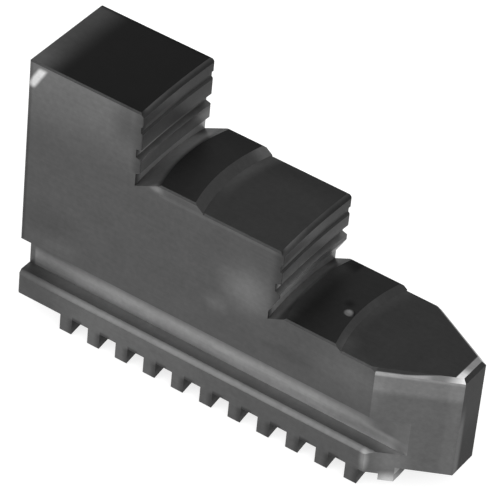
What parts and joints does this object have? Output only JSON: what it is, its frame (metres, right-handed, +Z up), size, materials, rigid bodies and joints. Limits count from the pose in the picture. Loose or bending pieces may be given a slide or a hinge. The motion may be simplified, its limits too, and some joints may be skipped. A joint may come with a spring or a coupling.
{
  "type": "reverse chuck jaw",
  "caption": "One-piece stepped steel jaw for a lathe scroll chuck, with guide grooves, scroll teeth, grooved gripping faces, raised seats and a wedge nose.",
  "frame": {"origin": "middle of the underside, level with the tips of the scroll teeth", "axes": "+X along the jaw from the tall outer end to the nose, +Y across the jaw, +Z up from the teeth to the steps"},
  "size_m": [0.1006, 0.024, 0.064],
  "materials": {
    "jaw_steel": "hardened and ground steel with a dark finish, worn bright along its edges"
  },
  "bodies": {
    "root": {"chuck_jaw": "jaw_steel"}
  },
  "joints": []
}
